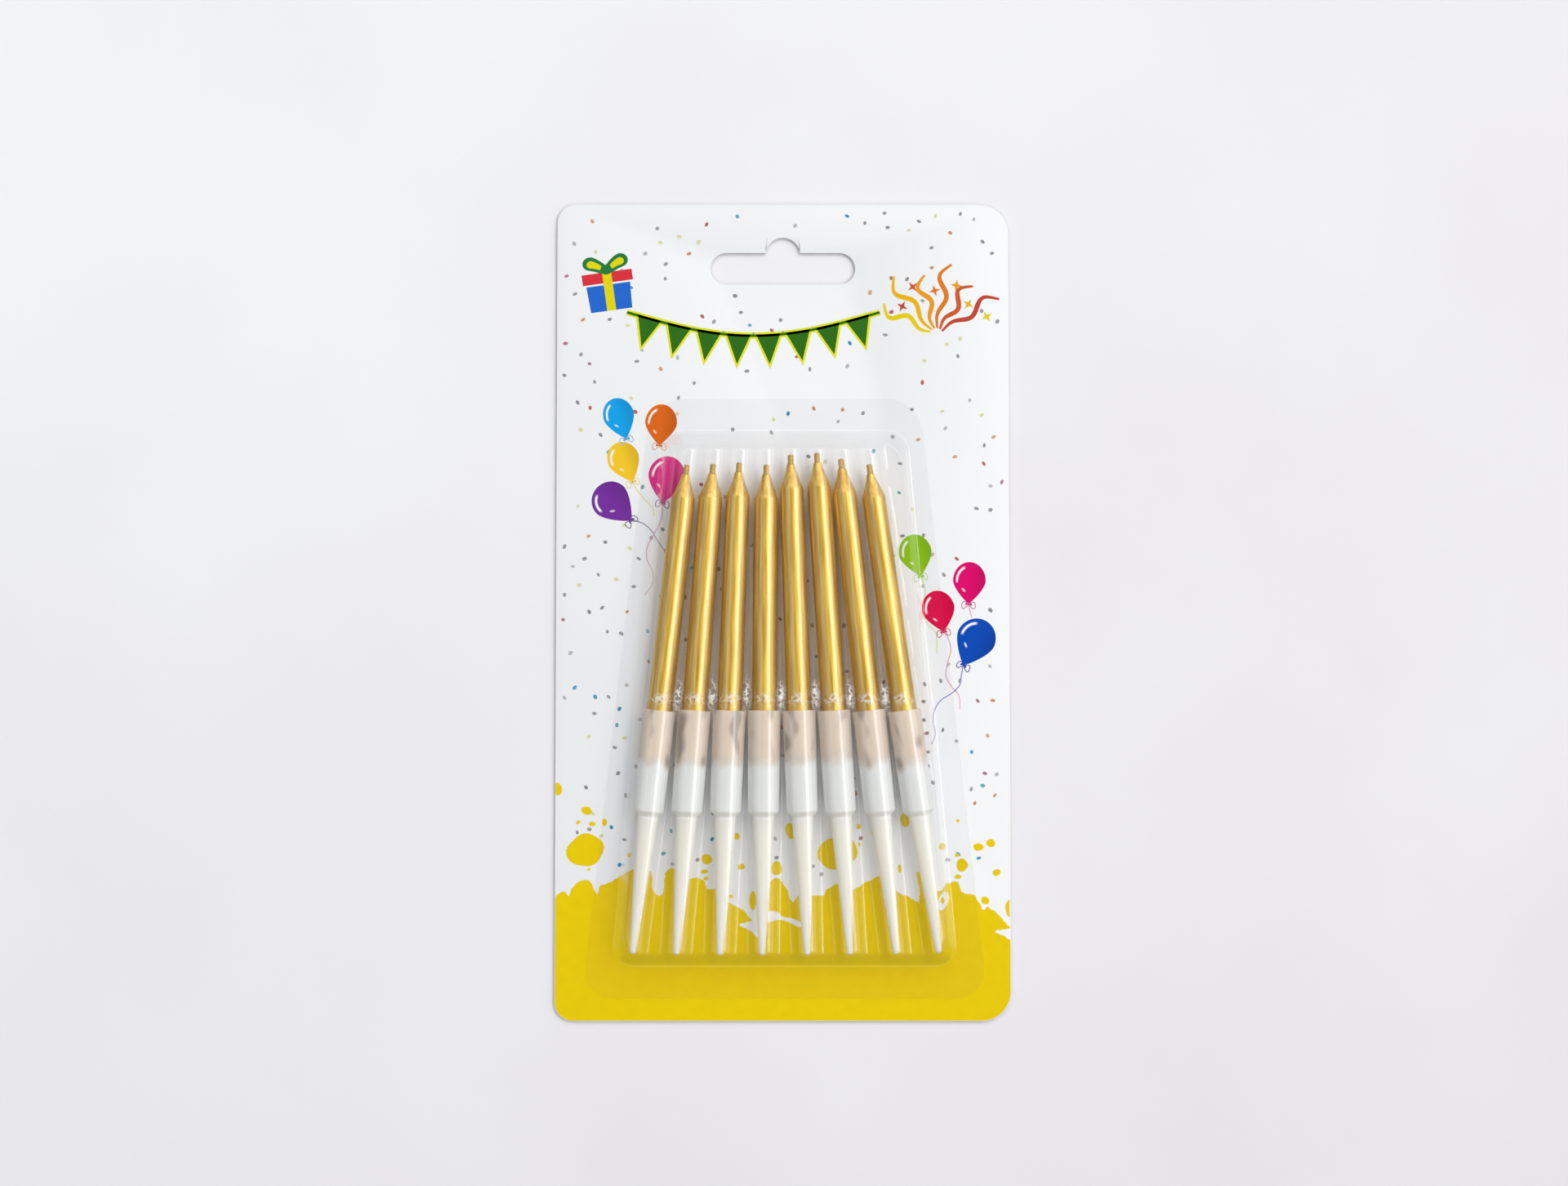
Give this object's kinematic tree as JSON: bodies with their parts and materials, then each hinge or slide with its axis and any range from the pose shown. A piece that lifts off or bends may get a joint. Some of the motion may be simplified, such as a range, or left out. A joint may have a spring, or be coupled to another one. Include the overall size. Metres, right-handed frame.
{
  "type": "birthday candle pack",
  "caption": "Sealed hanging card of gold birthday candles in spiked holders under a clear fluted blister.",
  "frame": {"origin": "middle of the card's back face", "axes": "+Y towards the hanging slot, along the card's length; +Z out of the printed face; +X to the right of it"},
  "size_m": [0.1, 0.18, 0.0085],
  "materials": {
    "coated_card": "gloss",
    "clear_film": "polished",
    "milky_plastic": "satin",
    "gold_coated_wax": "satin",
    "coated_wick": "matte"
  },
  "bodies": {
    "pack": {"backing_card": "coated_card", "blister_cover": "clear_film", "holder_1": "milky_plastic", "holder_2": "milky_plastic", "holder_3": "milky_plastic", "holder_4": "milky_plastic", "holder_5": "milky_plastic", "holder_6": "milky_plastic", "holder_7": "milky_plastic", "holder_8": "milky_plastic"},
    "candle_1": {"candle_1": "gold_coated_wax", "wick_1": "coated_wick"},
    "candle_2": {"candle_2": "gold_coated_wax", "wick_2": "coated_wick"},
    "candle_3": {"candle_3": "gold_coated_wax", "wick_3": "coated_wick"},
    "candle_4": {"candle_4": "gold_coated_wax", "wick_4": "coated_wick"},
    "candle_5": {"candle_5": "gold_coated_wax", "wick_5": "coated_wick"},
    "candle_6": {"candle_6": "gold_coated_wax", "wick_6": "coated_wick"},
    "candle_7": {"candle_7": "gold_coated_wax", "wick_7": "coated_wick"},
    "candle_8": {"candle_8": "gold_coated_wax", "wick_8": "coated_wick"}
  },
  "joints": [
    {"name": "candle_1_slide", "type": "slide", "parent": "pack", "child": "candle_1", "axis": [0.109, 0.994, 0], "range_m": [-0.0003, 0.0042]},
    {"name": "candle_2_slide", "type": "slide", "parent": "pack", "child": "candle_2", "axis": [0.0736, 0.9973, 0], "range_m": [-0.0003, 0.0042]},
    {"name": "candle_3_slide", "type": "slide", "parent": "pack", "child": "candle_3", "axis": [0.038, 0.9993, 0], "range_m": [-0.0005, 0.004]},
    {"name": "candle_4_slide", "type": "slide", "parent": "pack", "child": "candle_4", "axis": [0.0086, 1, 0], "range_m": [0, 0.0045]},
    {"name": "candle_5_slide", "type": "slide", "parent": "pack", "child": "candle_5", "axis": [-0.0332, 0.9995, 0], "range_m": [-0.0022, 0.0023]},
    {"name": "candle_6_slide", "type": "slide", "parent": "pack", "child": "candle_6", "axis": [-0.0652, 0.9979, 0], "range_m": [-0.0027, 0.0018]},
    {"name": "candle_7_slide", "type": "slide", "parent": "pack", "child": "candle_7", "axis": [-0.1103, 0.9939, 0], "range_m": [-0.0016, 0.0029]},
    {"name": "candle_8_slide", "type": "slide", "parent": "pack", "child": "candle_8", "axis": [-0.1395, 0.9902, 0], "range_m": [-0.0006, 0.0039]}
  ]
}
